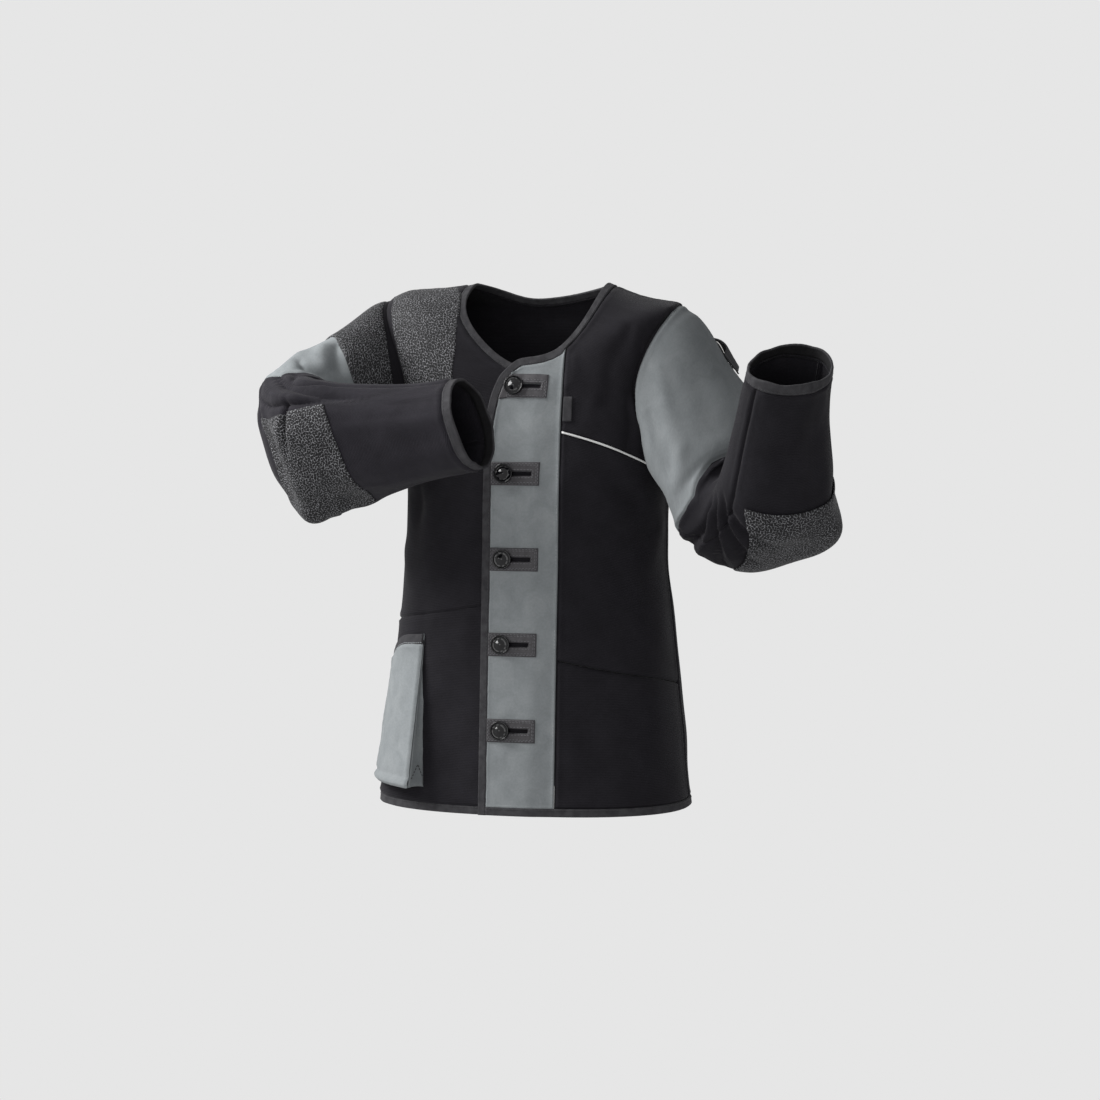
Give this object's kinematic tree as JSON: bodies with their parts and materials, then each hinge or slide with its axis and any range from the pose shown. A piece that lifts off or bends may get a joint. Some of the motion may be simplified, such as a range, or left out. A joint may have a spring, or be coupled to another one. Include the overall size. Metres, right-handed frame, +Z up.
{
  "type": "shooting jacket",
  "caption": "Collarless rifle shooting jacket, worn form with both arms raised: buttoned grey placket, grip pads at shoulder and elbows, bound neck and hem, side pocket.",
  "frame": {"origin": "middle of the neck opening at the height of the shoulders, where the jacket hangs on its wearer", "axes": "+Z up, -Y the wearer's front, +X the wearer's left"},
  "size_m": [0.7898, 0.44, 0.7167],
  "materials": {
    "canvas_black": "stiff matt black canvas with a fine crosswise weave",
    "suede_grey": "soft grey suede",
    "grip_pad": "pebbled black and pale grip rubber",
    "binding": "dark grey folded tape",
    "patch_leather": "smooth dark grey leather",
    "button_black": "glossy spun black plastic",
    "piping_white": "white piping cord",
    "webbing_black": "ribbed black webbing",
    "ring_metal": "dull bright steel"
  },
  "bodies": {
    "root": {"back": "canvas_black", "binding_hem": "binding", "binding_neck": "binding", "button_1": "button_black", "button_2": "button_black", "button_3": "button_black", "button_4": "button_black", "button_5": "button_black", "cuff_left": "binding", "cuff_right": "binding", "elbow_pad_left": "grip_pad", "elbow_pad_right": "grip_pad", "front_left_chest": "canvas_black", "front_left_lower": "canvas_black", "front_left_middle": "canvas_black", "front_right_lower": "canvas_black", "front_right_upper": "canvas_black", "label_tab": "patch_leather", "patch_1": "patch_leather", "patch_2": "patch_leather", "patch_3": "patch_leather", "patch_4": "patch_leather", "patch_5": "patch_leather", "piping": "piping_white", "placket": "suede_grey", "pocket_band": "binding", "pocket_front": "suede_grey", "pocket_gusset": "suede_grey", "ring_left": "ring_metal", "shoulder_pad": "grip_pad", "sleeve_left_fore_top": "canvas_black", "sleeve_left_fore_under": "canvas_black", "sleeve_left_upper": "suede_grey", "sleeve_right_cap": "canvas_black", "sleeve_right_fore_top": "canvas_black", "sleeve_right_fore_under": "canvas_black", "sleeve_right_pad": "grip_pad", "sleeve_right_upper": "suede_grey", "strap_left": "webbing_black"}
  },
  "joints": []
}
